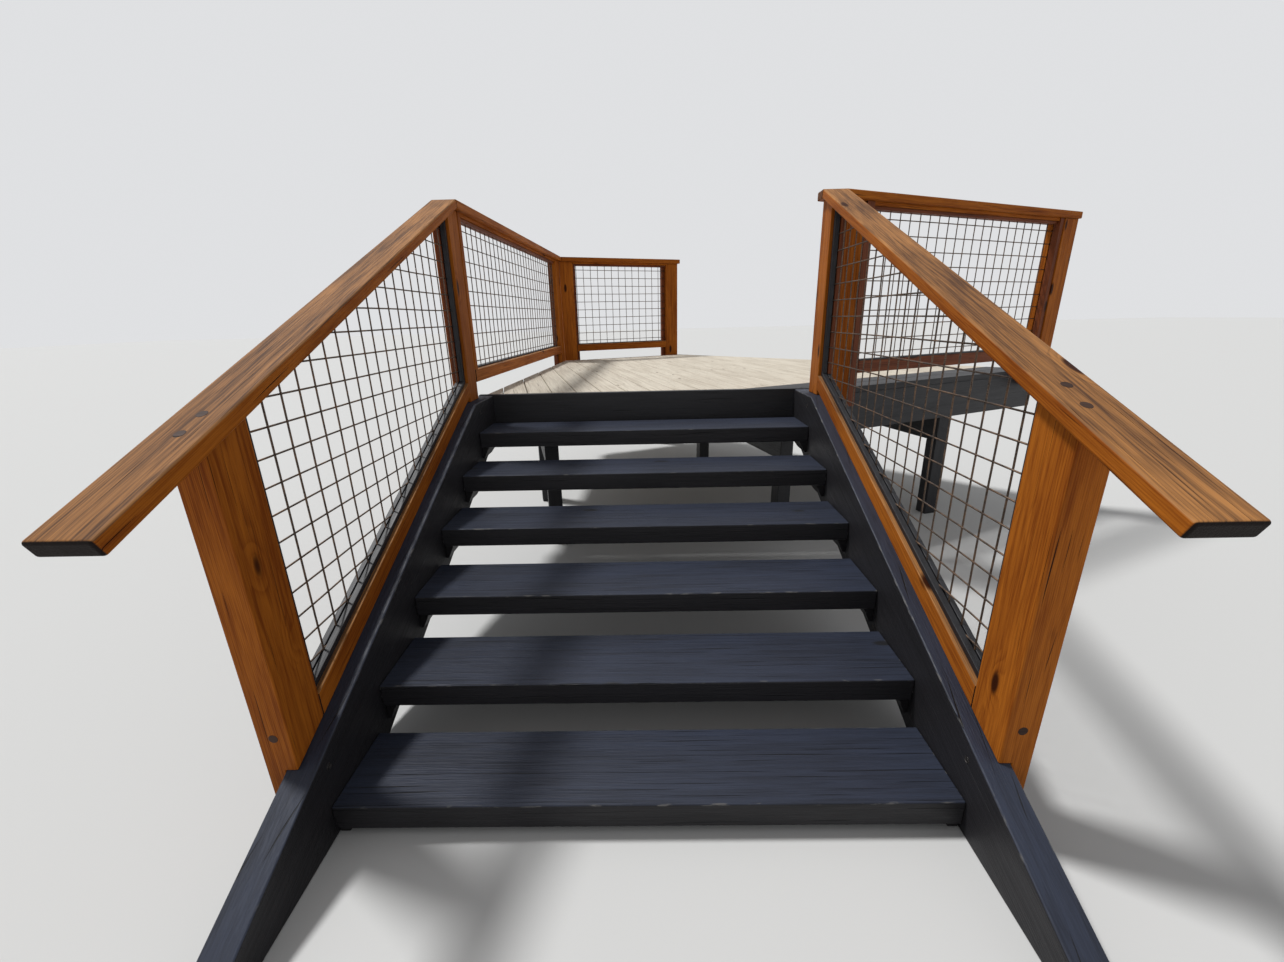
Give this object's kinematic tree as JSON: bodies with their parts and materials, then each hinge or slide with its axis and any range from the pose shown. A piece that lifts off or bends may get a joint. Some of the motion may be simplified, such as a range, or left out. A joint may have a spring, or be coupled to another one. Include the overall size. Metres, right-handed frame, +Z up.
{
  "type": "wooden deck stairs",
  "caption": "Wide timber deck stairs between plank stringers, with stained posts and rails, wire mesh guards and the deck head they lead up to.",
  "frame": {"origin": "middle of the bounding box, on the ground", "axes": "+X across the flight to the right of someone going up, +Y up the flight towards the deck, +Z up"},
  "size_m": [4.0006, 5.6188, 2.044],
  "materials": {
    "charcoal_wood": "weathered, almost black stain",
    "stained_wood": "semi-transparent orange-brown stain",
    "red_brown_strips": "dark red-brown stain",
    "black_painted_wood": "matt black paint",
    "bronze_wire": "dark bronze coating",
    "deck_wood": "bare, weathered to grey-tan",
    "joist_wood": "bare brown timber"
  },
  "bodies": {
    "root": {"stringer_left": "charcoal_wood", "stringer_right": "charcoal_wood", "tread_1": "charcoal_wood", "tread_2": "charcoal_wood", "tread_3": "charcoal_wood", "tread_4": "charcoal_wood", "tread_5": "charcoal_wood", "tread_6": "charcoal_wood", "tread_cleats": "charcoal_wood", "lower_post_left": "stained_wood", "lower_post_right": "stained_wood", "upper_post_left": "stained_wood", "upper_post_right": "stained_wood", "handrail_left": "stained_wood", "handrail_right": "stained_wood", "stair_bottom_rail_left": "stained_wood", "stair_bottom_rail_right": "stained_wood", "guard_post_front_right": "stained_wood", "guard_corner_posts": "stained_wood", "guard_end_posts": "stained_wood", "guard_cap_left": "stained_wood", "guard_cap_far": "stained_wood", "guard_cap_right": "stained_wood", "guard_bottom_rail_left": "stained_wood", "guard_bottom_rail_far": "stained_wood", "guard_bottom_rail_right": "stained_wood", "stair_nailers": "red_brown_strips", "guard_nailers": "red_brown_strips", "stair_black_strips": "black_painted_wood", "guard_inner_strips": "black_painted_wood", "guard_mesh_strip_left": "black_painted_wood", "guard_mesh_strip_far": "black_painted_wood", "guard_mesh_strip_right": "black_painted_wood", "deck_border_right": "black_painted_wood", "deck_fascia_front": "black_painted_wood", "deck_rim_right": "black_painted_wood", "deck_rim_back": "black_painted_wood", "deck_rim_far": "black_painted_wood", "deck_rim_left": "black_painted_wood", "deck_beams": "black_painted_wood", "deck_support_posts": "black_painted_wood", "stair_mesh_left": "bronze_wire", "stair_mesh_right": "bronze_wire", "guard_mesh_left": "bronze_wire", "guard_mesh_far": "bronze_wire", "guard_mesh_right": "bronze_wire", "deck_boards": "deck_wood", "deck_joists": "joist_wood"}
  },
  "joints": []
}
